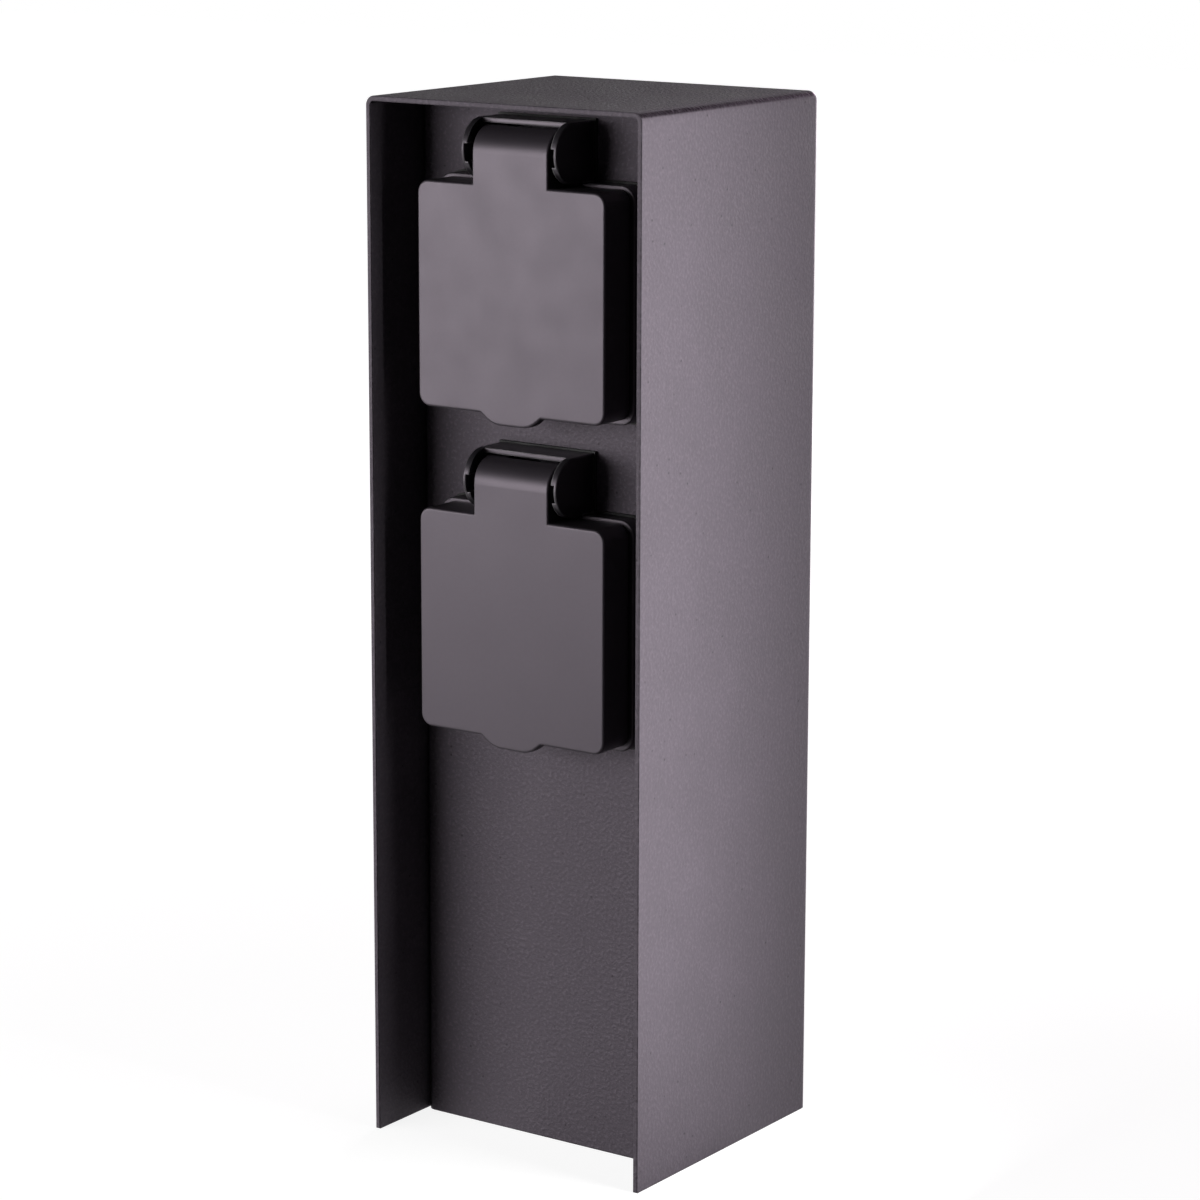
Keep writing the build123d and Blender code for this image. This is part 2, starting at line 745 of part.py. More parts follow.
def make_earth_stud():
    stud_y = front_y + earth_stud_depth
    lug_z = base_top_z + washer_thickness
    barrel_front_y = stud_y - lug_barrel_start - lug_barrel_length
    with BuildPart() as stud:
        with BuildSketch(Plane.XY.offset(base_top_z)):
            with Locations((earth_stud_x, stud_y)):
                Circle(m4_radius)
        extrude(amount=earth_stud_length)
    write(stud, "earth_stud")
    with BuildPart() as washers:
        with Locations((earth_stud_x, stud_y, base_top_z), (earth_stud_x, stud_y, lug_z + lug_sheet)):
            add(washer(m4_radius))
    write(washers, "earth_washers")
    with BuildPart() as lug:
        with BuildSketch(Plane.XY.offset(lug_z)):
            with Locations((earth_stud_x, stud_y)):
                Circle(lug_radius)
            with Locations((earth_stud_x, stud_y - lug_barrel_start / 2 - lug_neck / 2)):
                Rectangle(2 * lug_barrel_radius, lug_barrel_start + lug_neck)
            with Locations((earth_stud_x, stud_y)):
                Circle(m4_radius + m4_clearance, mode=Mode.SUBTRACT)
        extrude(amount=lug_sheet)
        with BuildSketch(facing(barrel_front_y, lug_z + lug_barrel_radius)):
            with Locations((earth_stud_x, 0)):
                Circle(lug_barrel_radius)
        extrude(amount=-lug_barrel_length)
        with BuildSketch(facing(barrel_front_y, lug_z + lug_barrel_radius)):
            with Locations((earth_stud_x, 0)):
                Circle(lead_radius + lead_hole_gap)
        extrude(amount=-lug_barrel_length, mode=Mode.SUBTRACT)
    write(lug, "earth_lug")
    with BuildPart() as nut:
        with Locations((earth_stud_x, stud_y, lug_z + lug_sheet + washer_thickness)):
            add(hex_nut(nut_m4_width, nut_m4_height, m4_radius))
    write(nut, "earth_nut")


# Socket body: hinge block over a square flange, with the plug recess through it


def make_socket_body(unit, centre_z):
    with BuildPart() as body:
        with BuildSketch(Plane.YZ):
            with Locations((cheek_y, centre_z + cheek_rise)):
                Circle(cheek_radius)
            with Locations(((cheek_y + gasket_front_y) / 2, centre_z + cheek_rise)):
                Rectangle(gasket_front_y - cheek_y, 2 * cheek_radius)
        extrude(amount=block_half_width, both=True)
        fillet(body.faces().filter_by(Axis.X).edges().sort_by(Axis.Y)[:2], cheek_edge)
        pocket_back_y = gasket_front_y - hinge_back_wall
        pocket_front_y = cheek_y - cheek_radius - overrun
        pocket_top = block_top - top_wall
        with BuildSketch(Plane.YZ):
            with Locations(
                ((pocket_front_y + pocket_back_y) / 2, centre_z + (block_bottom - overrun + pocket_top) / 2)
            ):
                Rectangle(pocket_back_y - pocket_front_y, pocket_top - block_bottom + overrun)
        extrude(amount=cheek_inner_x, both=True, mode=Mode.SUBTRACT)
        with BuildSketch(Plane.YZ):
            with Locations(((pocket_front_y + hinge_y - top_wall_lead) / 2, centre_z + cheek_rise)):
                Rectangle(hinge_y - top_wall_lead - pocket_front_y, 2 * cheek_radius + overrun)
        extrude(amount=cheek_inner_x, both=True, mode=Mode.SUBTRACT)
        for side in (-1, 1):
            slot_front = cheek_y - cheek_radius - overrun - hinge_y
            with BuildSketch(hinge_plane(centre_z, side * cheek_inner_x)):
                Circle(pin_radius + pin_seat_gap)
                with Locations((slot_front / 2, 0)):
                    Rectangle(-slot_front, 2 * slot_neck_half)
                with Locations(((slot_front - slot_neck_length) / 2, 0)):
                    Rectangle(-slot_neck_length - slot_front, 2 * slot_half_height)
            extrude(amount=side * slot_depth, mode=Mode.SUBTRACT)
        seat_x = spring_half_length + spring_leg_slope * (pocket_back_y + hinge_back_wall / 2 - hinge_y)
        with BuildSketch(facing(pocket_back_y, centre_z + hinge_rise - spring_coil_radius)):
            with Locations((seat_x, 0)):
                Circle(spring_wire_radius + spring_seat_gap)
        extrude(amount=-hinge_back_wall, mode=Mode.SUBTRACT)
        add(make_flange_and_cup(centre_z))
    write(body, f"{unit}_socket_body")


def make_flange_and_cup(centre_z):
    with BuildPart() as cup:
        with BuildSketch(facing(flange_front_y, centre_z)):
            RectangleRounded(flange_width, flange_height, flange_corner)
        extrude(amount=-flange_thickness)
        fillet(cup.edges().group_by(Axis.Y)[0], flange_edge)
        with BuildSketch(facing(rim_y, centre_z)):
            Circle(collar_radius)
        extrude(amount=-collar_rise)
        fillet(cup.edges().group_by(Axis.Y)[0], flange_edge)
        with BuildSketch(facing(flange_front_y, centre_z)):
            Circle(cup_radius)
        extrude(amount=-(skirt_back_y - flange_front_y))
        with BuildSketch(facing(cup_back_y, centre_z)):
            Circle(cup_radius - cup_skirt_wall)
        extrude(amount=-cup_skirt, mode=Mode.SUBTRACT)
        with BuildSketch(facing(rim_y, centre_z)):
            Circle(plug_recess_radius)
        extrude(amount=-cup_lead_in, mode=Mode.SUBTRACT)
        with BuildSketch(facing(rim_y, centre_z)):
            Circle(plug_recess_radius)
            with Locations((-plug_recess_radius, 0), (plug_recess_radius, 0)):
                Rectangle(2 * guide_rib_rise, guide_rib_width, mode=Mode.SUBTRACT)
        extrude(amount=-plug_recess_depth, mode=Mode.SUBTRACT)
        with BuildSketch(facing(recess_floor_y, centre_z)):
            with Locations((-pin_spacing / 2, 0), (pin_spacing / 2, 0)):
                Circle(pin_hole_radius)
        extrude(amount=-cup_floor, mode=Mode.SUBTRACT)
        pin_mouths = cup.edges().filter_by(GeomType.CIRCLE)
        pin_mouths = pin_mouths.filter_by(lambda edge: abs(edge.radius - pin_hole_radius) < part_gap)
        chamfer(pin_mouths.group_by(Axis.Y)[0], pin_hole_chamfer)
        with BuildSketch(facing(rim_y + earth_slot_start, centre_z)):
            slot_middle = (earth_slot_inner + earth_slot_outer) / 2
            with Locations((0, -slot_middle), (0, slot_middle)):
                Rectangle(earth_slot_width, earth_slot_outer - earth_slot_inner)
        extrude(amount=-(cup_back_y - rim_y - earth_slot_start), mode=Mode.SUBTRACT)
        with BuildSketch(facing(flange_front_y, centre_z)):
            with Locations(*fixing_places):
                Circle(m3_radius + m3_clearance)
        extrude(amount=-flange_thickness, mode=Mode.SUBTRACT)
        with BuildSketch(facing(cup_back_y, centre_z)):
            with Locations((-carrier_screw_x, carrier_screw_z), (carrier_screw_x, carrier_screw_z)):
                Circle(m3_radius + thread_gap)
        extrude(amount=carrier_screw_bite + part_gap, mode=Mode.SUBTRACT)
    return cup.part


def make_panel_gasket(unit, centre_z):
    with BuildPart() as gasket:
        with BuildSketch(facing(gasket_front_y, centre_z)):
            RectangleRounded(
                flange_width + 2 * gasket_margin,
                flange_height + 2 * gasket_margin,
                flange_corner + gasket_margin,
            )
            with Locations((0, (block_top + gasket_margin) / 2)):
                Rectangle(2 * (block_half_width + gasket_margin), block_top + gasket_margin)
            Circle(cup_radius + cutout_gap, mode=Mode.SUBTRACT)
            with Locations(*fixing_places):
                Circle(m3_radius + m3_clearance, mode=Mode.SUBTRACT)
        extrude(amount=-gasket_thickness)
    write(gasket, f"{unit}_panel_gasket")


# Lid: a deep cap with a hinge barrel above it and a finger tab below it


def make_tongue(centre_z):
    root_depth = hinge_above_lid + lid_wall
    with BuildPart() as tongue:
        with BuildSketch(hinge_plane(centre_z)):
            Circle(barrel_radius)
            with Locations((-barrel_radius / 2, -root_depth / 2)):
                Rectangle(barrel_radius, root_depth)
        extrude(amount=tongue_half_width, both=True)
        side_edges = tongue.faces().filter_by(Axis.X).edges()
        front_edges = side_edges.filter_by(GeomType.LINE).group_by(Axis.Y)[0]
        fillet(side_edges.filter_by(GeomType.CIRCLE) + front_edges, tongue_edge)
    return tongue.part


def make_lid(unit, centre_z):
    middle_z = centre_z + lid_lift
    holder_inner = seal_inner_radius - seal_holder_wall
    holder_outer = seal_outer_radius + seal_holder_wall
    inner_face_y = lid_front_y + lid_front_wall
    tongue = make_tongue(centre_z)
    with BuildPart() as lid:
        with BuildSketch(facing(lid_front_y, middle_z)) as outline:
            RectangleRounded(lid_width, lid_height, lid_corner)
            with BuildLine():
                Polyline(
                    (-tab_root_half_width, 0),
                    (-tab_root_half_width, -lid_height / 2),
                    (-tab_end_half_width, -lid_height / 2 - tab_drop),
                    (tab_end_half_width, -lid_height / 2 - tab_drop),
                    (tab_root_half_width, -lid_height / 2),
                    (tab_root_half_width, 0),
                    close=True,
                )
            make_face()
            corners = outline.vertices().group_by(Axis.Y)
            fillet(corners[0], tab_end_round)
            roots = outline.vertices().filter_by_position(Axis.X, -lid_width / 4, lid_width / 4)
            fillet(roots.sort_by(Axis.Y)[-2:], tab_root_round)
        extrude(amount=-tab_thickness)
        with BuildSketch(facing(lid_front_y, middle_z)):
            RectangleRounded(lid_width, lid_height, lid_corner)
        extrude(amount=-lid_depth)
        fillet(lid.edges().group_by(Axis.Y)[0], lid_edge)
        with BuildSketch(facing(lid_back_y, middle_z)):
            RectangleRounded(
                lid_width - 2 * lid_wall,
                lid_height - 2 * lid_wall,
                lid_corner - lid_wall,
            )
        extrude(amount=lid_depth - lid_front_wall, mode=Mode.SUBTRACT)
        with BuildSketch(facing(inner_face_y, centre_z)):
            Circle(holder_outer)
            Circle(holder_inner, mode=Mode.SUBTRACT)
        extrude(amount=-seal_holder_rise)
        with BuildSketch(facing(inner_face_y + seal_holder_rise, centre_z)):
            Circle(seal_outer_radius + seal_side_gap)
            Circle(seal_inner_radius - seal_side_gap, mode=Mode.SUBTRACT)
        extrude(amount=seal_groove_depth, mode=Mode.SUBTRACT)
        add(tongue)
        with BuildSketch(hinge_plane(centre_z)):
            Circle(pin_radius + pin_running_gap)
        extrude(amount=tongue_half_width, both=True, mode=Mode.SUBTRACT)
        window_front = -spring_window_lead
        window_back = barrel_radius + overrun
        window_bottom = -(spring_coil_radius + spring_wire_radius + spring_window_gap)
        window_top = barrel_radius + overrun
        with BuildSketch(hinge_plane(centre_z)):
            Circle(spring_pocket_radius)
            with Locations(((window_front + window_back) / 2, (window_bottom + window_top) / 2)):
                Rectangle(window_back - window_front, window_top - window_bottom)
        extrude(amount=spring_pocket_half_width, both=True, mode=Mode.SUBTRACT)
    write(lid, f"{unit}_lid")


def make_lid_seal(unit, centre_z):
    groove_floor_y = lid_front_y + lid_front_wall + seal_holder_rise - seal_groove_depth
    with BuildPart() as seal:
        with BuildSketch(facing(groove_floor_y, centre_z)):
            Circle(seal_outer_radius)
            Circle(seal_inner_radius, mode=Mode.SUBTRACT)
        extrude(amount=-(rim_y - seal_rim_gap - groove_floor_y))
    write(seal, f"{unit}_lid_seal")


def make_hinge_pin(unit, centre_z):
    half_length = cheek_inner_x + slot_depth - pin_end_gap
    with BuildPart() as pin:
        with BuildSketch(hinge_plane(centre_z)):
            Circle(pin_radius)
        extrude(amount=half_length, both=True)
        chamfer(pin.edges(), pin_edge)
    write(pin, f"{unit}_hinge_pin")


# Torsion spring round the pin: one leg in the block's back wall, one in the lid's barrel


def make_hinge_spring(unit, centre_z):
    back_leg = gasket_front_y - hinge_back_wall + spring_seat_depth - hinge_y
    coil_outside = spring_coil_radius + spring_wire_radius
    pocket_reach = sqrt(spring_pocket_radius**2 - coil_outside**2)
    front_leg = pocket_reach - spring_rest_gap
    with BuildPart() as spring:
        with BuildLine() as wire:
            coil = Helix(
                spring_pitch,
                2 * spring_half_length,
                spring_coil_radius,
                center=(spring_half_length, hinge_y, centre_z + hinge_rise),
                direction=(-1, 0, 0),
            )
            Line(coil @ 0 - (coil % 0) * back_leg, coil @ 0)
            Line(coil @ 1, coil @ 1 + (coil % 1) * front_leg)
        with BuildSketch(Plane(origin=coil @ 0 - (coil % 0) * back_leg, z_dir=coil % 0)):
            Circle(spring_wire_radius)
        sweep(path=wire.wire())
    print(unit, "spring gap between turns", round(spring_pitch - 2 * spring_wire_radius, 2))
    write(spring, f"{unit}_hinge_spring")


# Contact carrier behind the cup, with its contacts, earth clip and screws


def terminal_outline(x, near, sign, margin):
    """Adds the outline of one terminal to the sketch: sign is where it lies from the centre."""
    far = near + terminal_far - terminal_near
    with Locations((x, sign * (near + far) / 2)):
        Rectangle(2 * (terminal_half_width + margin), far - near + 2 * margin)


def terminal_places(x, near, sign):
    """Screw place, then the two wire places, of one terminal."""
    screw_z = sign * (near + terminal_screw_drop - terminal_near)
    wire_z = sign * (near + terminal_wire_drop - terminal_near)
    wires = [(x + side * terminal_wire_offset, wire_z) for side in (-1, 1)]
    return (x, screw_z), wires


terminals = [
    (-pin_spacing / 2, terminal_near, -1),
    (pin_spacing / 2, terminal_near, -1),
    (0, earth_terminal_near, 1),
]


def terminal_bores(which, centre_z):
    """The screw and wire bores of some terminals, as solids to be cut from them."""
    with BuildPart() as bores:
        with BuildSketch(facing_back(terminal_back_y, centre_z)):
            for x, near, sign in which:
                (screw_x, screw_z), wires = terminal_places(x, near, sign)
                with Locations((-screw_x, screw_z)):
                    Circle(m3_radius + thread_gap)
                with Locations(*[(-wire_x, wire_z) for wire_x, wire_z in wires]):
                    Circle(lead_radius + lead_hole_gap)
        extrude(amount=-terminal_length)
    return bores.part


def make_contact_carrier(unit, centre_z):
    pocket_depth = carrier_depth - carrier_back_wall
    sleeve_places = [(-pin_spacing / 2, 0), (pin_spacing / 2, 0)]
    screw_places = [(-carrier_screw_x, carrier_screw_z), (carrier_screw_x, carrier_screw_z)]
    with BuildPart() as carrier:
        with BuildSketch(facing(carrier_front_y, centre_z)):
            Circle(cup_radius - cup_skirt_wall - carrier_spigot_gap)
        extrude(amount=-carrier_depth)
        with BuildSketch(facing(skirt_back_y + part_gap, centre_z)):
            Circle(carrier_radius)
        extrude(amount=-(carrier_back_y - skirt_back_y - part_gap))
        chamfer(carrier.edges().group_by(Axis.Y)[-1], carrier_edge)
        with BuildSketch(facing(carrier_front_y, centre_z)):
            with Locations(*sleeve_places):
                Circle(sleeve_radius + contact_gap)
            for x, near, sign in terminals:
                terminal_outline(x, near, sign, contact_gap)
        extrude(amount=-pocket_depth, mode=Mode.SUBTRACT)
        with BuildSketch(facing(carrier_front_y, centre_z)):
            Rectangle(earth_strip_width + 2 * contact_gap, 2 * carrier_radius)
        extrude(amount=-(2 * earth_web_gap + earth_strip), mode=Mode.SUBTRACT)
        with BuildSketch(facing_back(carrier_back_y, centre_z)):
            for x, near, sign in terminals:
                screw, wires = terminal_places(x, near, sign)
                with Locations(screw):
                    Circle(small_head_radius + m3_clearance)
                with Locations(*wires):
                    Circle(lead_radius + contact_gap)
        extrude(amount=-carrier_back_wall, mode=Mode.SUBTRACT)
        with BuildSketch(facing_back(carrier_back_y, centre_z)):
            with Locations(*screw_places):
                Circle(m3_radius + m3_clearance)
        extrude(amount=-carrier_depth, mode=Mode.SUBTRACT)
    write(carrier, f"{unit}_contact_carrier")
    screw_length = carrier_depth + part_gap + carrier_screw_bite
    with BuildPart(facing_back(carrier_back_y, centre_z)) as screws:
        with Locations(*screw_places):
            add(pan_screw(screw_length))
    write(screws, f"{unit}_carrier_screws")


def make_pin_contacts(unit, centre_z):
    places = [(-pin_spacing / 2, 0), (pin_spacing / 2, 0)]
    with BuildPart() as contacts:
        with BuildSketch(facing(sleeve_front_y, centre_z)):
            with Locations(*places):
                Circle(sleeve_radius)
        extrude(amount=-sleeve_length)
        with BuildSketch(facing(terminal_front_y, centre_z)):
            for x, near, sign in terminals[:2]:
                terminal_outline(x, near, sign, 0)
        extrude(amount=-terminal_length)
        with BuildSketch(facing(sleeve_front_y, centre_z)):
            with Locations(*places):
                Circle(sleeve_bore)
        extrude(amount=-sleeve_length, mode=Mode.SUBTRACT)
        add(terminal_bores(terminals[:2], centre_z), mode=Mode.SUBTRACT)
    write(contacts, f"{unit}_pin_contacts")


def make_earth_clip(unit, centre_z):
    web_front_y = carrier_front_y + earth_web_gap
    leg_inner = earth_leg_outer - earth_strip
    finger = [
        (rim_y + earth_finger_root, leg_inner),
        (rim_y + earth_finger_peak, leg_inner - earth_finger_rise),
        (rim_y + earth_finger_tip, leg_inner - earth_tip_rise),
        (rim_y + earth_finger_tip, earth_leg_outer - earth_tip_rise),
        (rim_y + earth_finger_peak, earth_leg_outer - earth_finger_rise),
        (rim_y + earth_finger_root, earth_leg_outer),
    ]
    with BuildPart() as clip:
        with BuildSketch(Plane.YZ):
            with Locations((web_front_y + earth_strip / 2, centre_z)):
                Rectangle(earth_strip, 2 * earth_leg_outer)
            for sign in (-1, 1):
                leg_front_y = rim_y + earth_finger_root
                leg_back_y = web_front_y + earth_strip
                leg_middle = centre_z + sign * (leg_inner + earth_leg_outer) / 2
                with Locations(((leg_front_y + leg_back_y) / 2, leg_middle)):
                    Rectangle(leg_back_y - leg_front_y, earth_strip)
                with BuildLine():
                    Polyline(*[(y, centre_z + sign * z) for y, z in finger], close=True)
                make_face()
            shelf_back_y = terminal_front_y + earth_strip
            shelf_middle = centre_z + earth_terminal_near + earth_strip / 2
            with Locations(((web_front_y + shelf_back_y) / 2, shelf_middle)):
                Rectangle(shelf_back_y - web_front_y, earth_strip)
        extrude(amount=earth_strip_width / 2, both=True)
        with BuildSketch(facing(terminal_front_y, centre_z)):
            for x, near, sign in terminals[2:]:
                terminal_outline(x, near, sign, 0)
        extrude(amount=-terminal_length)
        add(terminal_bores(terminals[2:], centre_z), mode=Mode.SUBTRACT)
    write(clip, f"{unit}_earth_clip")


def make_terminal_screws(unit, centre_z):
    screw = pan_screw(terminal_screw_length, small_head_radius, small_head_height)
    places = [terminal_places(*terminal)[0] for terminal in terminals]
    with BuildPart(facing_back(terminal_back_y, centre_z)) as screws:
        with Locations(*[(-x, z) for x, z in places]):
            add(screw)
    write(screws, f"{unit}_terminal_screws")


# Flange screws with their nuts behind the front panel


def make_flange_fasteners(unit, centre_z):
    with BuildPart(facing(flange_front_y, centre_z)) as screws:
        with Locations(*fixing_places):
            add(pan_screw(flange_screw_length))
    write(screws, f"{unit}_flange_screws")
    with BuildPart(facing_back(panel_back_y, centre_z)) as nuts:
        with Locations(*fixing_places):
            add(hex_nut(nut_m3_width, nut_m3_height, m3_radius))
    write(nuts, f"{unit}_flange_nuts")


# Internal leads: from the terminal block to the lower socket, on to the upper
# socket, and from the middle pole to the earth stud


def lead_up(pole_x, wire_x, wire_z):
    """Route from a pole's top, back behind the carriers and forward into a terminal."""
    block_top_z = block_mid_z + block_height / 2
    climb = lower_socket_z - terminal_wire_drop - block_top_z
    back = lead_reach_y - pole_y
    return [
        (pole_x, pole_y, block_top_z - lead_block_entry),
        (pole_x, pole_y, block_top_z + lead_rise_share * climb),
        (wire_x, pole_y + lead_back_share * back, block_top_z + lead_cross_share * climb),
        (wire_x, lead_reach_y, block_top_z + lead_climb_share * climb),
        (wire_x, lead_reach_y, wire_z),
        (wire_x, carrier_back_y - lead_entry, wire_z),
    ]


def lead_across(wire_x, low_z, high_z):
    """Route out of one carrier, up behind it and into the carrier above."""
    return [
        (wire_x, carrier_back_y - lead_entry, low_z),
        (wire_x, lead_reach_y, low_z),
        (wire_x, lead_reach_y, high_z),
        (wire_x, carrier_back_y - lead_entry, high_z),
    ]


def lead_to_stud():
    """Route from the middle pole's bottom to the crimped lug on the earth stud."""
    block_bottom_z = block_mid_z - block_height / 2
    fall = block_bottom_z - base_top_z
    barrel_z = base_top_z + washer_thickness + lug_barrel_radius
    barrel_front_y = front_y + earth_stud_depth - lug_barrel_start - lug_barrel_length
    first_drop, second_drop = stud_lead_shares
    return [
        (0, pole_y, block_bottom_z + lead_block_entry),
        (0, pole_y, block_bottom_z - first_drop * fall),
        (earth_stud_x, tab_back_y + side_lead_gap, block_bottom_z - second_drop * fall),
        (earth_stud_x, barrel_front_y - lug_lead_run, barrel_z),
        (earth_stud_x, barrel_front_y + lug_entry, barrel_z),
    ]


def make_leads():
    supply_side, loop_side = 1, -1
    for name, x, sign in (("live_leads", -1, -1), ("neutral_leads", 1, -1)):
        contact_x = x * pin_spacing / 2
        supply_x = contact_x - x * supply_side * terminal_wire_offset
        loop_x = contact_x - x * loop_side * terminal_wire_offset
        low_z = lower_socket_z + sign * terminal_wire_drop
        with BuildPart() as leads:
            add(cord(lead_up(x * pole_pitch, supply_x, low_z), lead_radius))
            add(cord(lead_across(loop_x, low_z, low_z + socket_pitch), lead_radius))
        write(leads, name)
    wire_z = lower_socket_z + earth_terminal_near + terminal_wire_drop - terminal_near
    with BuildPart() as leads:
        add(cord(lead_up(0, -terminal_wire_offset, wire_z), lead_radius))
        add(cord(lead_across(terminal_wire_offset, wire_z, wire_z + socket_pitch), lead_radius))
        add(cord(lead_to_stud(), lead_radius))
    write(leads, "earth_leads")


make_outer_hood()
make_front_panel()
make_rear_panel()
make_rear_panel_screws()
make_clinch_nuts()
make_side_fasteners()
make_base_plate()
make_base_pad()
make_cable_grommet()
make_cable_clamp()
make_terminal_block()
make_earth_stud()
make_leads()
for unit, centre_z in socket_units.items():
    make_socket_body(unit, centre_z)
    make_panel_gasket(unit, centre_z)
    make_lid(unit, centre_z)
    make_lid_seal(unit, centre_z)
    make_hinge_pin(unit, centre_z)
    make_hinge_spring(unit, centre_z)
    make_contact_carrier(unit, centre_z)
    make_pin_contacts(unit, centre_z)
    make_earth_clip(unit, centre_z)
    make_terminal_screws(unit, centre_z)
    make_flange_fasteners(unit, centre_z)
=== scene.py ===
"""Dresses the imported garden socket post: finishes, a pale studio floor, lamps and a camera."""

import math

import bpy
from bpy.props import FloatProperty, FloatVectorProperty, PointerProperty
from bpy.types import Operator, Panel, PropertyGroup
from mathutils import Matrix, Vector

bl_info = {
    "name": "Garden Socket Post",
    "version": (1, 0, 0),
    "blender": (4, 5, 0),
    "location": "View3D > Sidebar > Socket Post",
    "description": "Finishes and studio stage for a short outdoor power post with two lidded sockets",
    "category": "Object",
}

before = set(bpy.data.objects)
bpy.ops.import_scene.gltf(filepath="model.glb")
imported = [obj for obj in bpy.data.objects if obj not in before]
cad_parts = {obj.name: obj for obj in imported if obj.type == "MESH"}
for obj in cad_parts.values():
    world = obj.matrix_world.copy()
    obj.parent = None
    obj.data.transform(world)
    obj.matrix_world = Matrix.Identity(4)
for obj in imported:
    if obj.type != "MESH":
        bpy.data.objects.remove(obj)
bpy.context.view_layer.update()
UNITS = ("lower", "upper")
WHITE = (1.0, 1.0, 1.0)

# Finishes
SHEEN_TINT = (1.0, 0.86, 1.0, 1.0)  # faintly violet mirror light on the coat and the plastics
NOISE_RANGE = (0.3, 0.7)  # nearly all values of a noise texture lie here
SPECK_CORE = 0.4  # solid share of a speck
GLINT_RANGE = (0.68, 0.88)  # grain this high shows as a painted glint
SIDE_RANGE = (0.3, 0.9)  # how far a face turns sideways before its painted glints and bump are weakest
TOP_RANGE = (0.97, 1.0)  # how far a face turns upwards before its painted glints and bump are strongest
FOLD_RANGE = (0.35, 0.46)  # how slanting a face is on a fold
STRIPE_RANGE = (0.55, 0.62)  # part of a wave that starts a stripe
EDGE_STEPS = 6  # samples of each edge mask

# Stage
DARK_SIDE = (0.5736, -0.8192, 0.0)  # level direction, front right, that mirror rays find dark
DARK_RANGE = (0.3, 0.8)  # how far a mirror ray turns to the dark side before it finds nothing
CEILING_RANGE = (0.2, 0.6)  # how far a ray rises before the background is dim
CEILING_LEVEL = 0.04
FLOOR_COLOUR = (0.25, 0.25, 0.25)
FLOOR_REACH = (0.15, 0.9)  # metres from the middle over which the floor's glow grows
FLOOR_GLOW = (0.88, 1.0)
FRONT_AIM = (0.0, 0.0, 0.13)
SIDE_AIM = (0.0385, -0.027, 0.142)
BACK_AIM = (0.0, 0.0, 0.12)
BACK_COLOUR = (1.0, 0.9, 0.97)
SENSOR_WIDTH = 36.0
CAMERA_SHIFT = (-0.00166, -0.00789)
CAMERA_REACH = 50.0
CAMERA_PLACE = (0.524226, -0.747270, 0.327221)
CAMERA_RIGHT = Vector((0.81952374, 0.5730398, 0.00249507))
CAMERA_UP = Vector((-0.12187634, 0.17004176, 0.97787114))
CAMERA_AHEAD = Vector((-0.55993482, 0.8016927, -0.20919325))


# Sizes and colours that a user would change


def tint(name, description, colour):
    """A colour property in linear light."""
    return FloatVectorProperty(
        name=name, description=description, default=colour, subtype="COLOR", size=3, min=0, max=1
    )


class PostFinishes(PropertyGroup):
    """Colours of the post's own finishes."""

    coat: tint("Powder coat", "Dark grey coat of the folded sheets", (0.064, 0.055, 0.066))
    lid: tint("Lids", "Satin plastic of the two lids", (0.024, 0.0205, 0.025))
    body: tint("Socket bodies", "Black plastic of flanges and hinge blocks", (0.012, 0.011, 0.013))
    rubber: tint("Rubber", "Seals, gaskets, grommet and foot pad", (0.010, 0.010, 0.010))
    carrier: tint("Contact carriers", "Pale moulding behind each socket", (0.62, 0.60, 0.53))
    terminal: tint("Terminal block", "Light grey terminal moulding", (0.42, 0.44, 0.45))
    zinc: tint("Zinc", "Plated steel of nuts, studs and base plate", (0.60, 0.61, 0.62))
    stainless: tint("Stainless steel", "Outside screws and hinge pins", (0.50, 0.49, 0.48))
    brass: tint("Brass", "Contacts, terminals and lug", (0.78, 0.57, 0.27))
    spring: tint("Spring steel", "Hinge springs", (0.55, 0.55, 0.56))
    live: tint("Live insulation", "Brown insulation", (0.16, 0.055, 0.022))
    neutral: tint("Neutral insulation", "Blue insulation", (0.03, 0.13, 0.48))
    earth: tint("Earth insulation", "Green of the striped insulation", (0.05, 0.26, 0.05))
    earth_stripe: tint("Earth stripe", "Yellow of the striped insulation", (0.75, 0.60, 0.05))


def strength(name, description, default):
    """A strength property for a lamp or the even light."""
    return FloatProperty(name=name, description=description, default=default, min=0)


class PostStage(PropertyGroup):
    """Lamps, floor and lens of the studio."""

    lens: FloatProperty(
        name="Lens", description="Focal length", default=117.58, min=20, unit="CAMERA"
    )
    front_power: strength("Front lamp", "Power of the front left lamp", 12.4)
    side_power: strength("Side lamp", "Power of the small lamp by the right side", 0.32)
    back_power: strength("Back lamp", "Power of the lamp behind", 11)
    fill: strength("Fill", "Strength of the even light from all round", 0.02)
    floor_width: FloatProperty(
        name="Floor", description="Width of the floor", default=6, min=1, unit="LENGTH"
    )


# Node helpers


def fill_socket(tree, socket, value):
    """Links a socket to another node's output, or gives it a value of its own."""
    if isinstance(value, bpy.types.NodeSocket):
        tree.links.new(value, socket)
    else:
        socket.default_value = value


def add_node(tree, kind, inputs=None, **settings):
    """Adds a node, sets its properties, and fills its inputs, given by socket."""
    node = tree.nodes.new(kind)
    for name, value in settings.items():
        setattr(node, name, value)
    for key, value in (inputs or {}).items():
        fill_socket(tree, node.inputs[key], value)
    return node


def math_node(tree, operation, first, second=0.0, clamp=False):
    """The result of one sum."""
    inputs = {0: first, 1: second}
    return add_node(
        tree, "ShaderNodeMath", inputs, operation=operation, use_clamp=clamp
    ).outputs[0]


def vector_node(tree, operation, first, second=(0.0, 0.0, 0.0)):
    """The outputs of one vector sum."""
    inputs = {0: first, 1: second}
    return add_node(tree, "ShaderNodeVectorMath", inputs, operation=operation).outputs


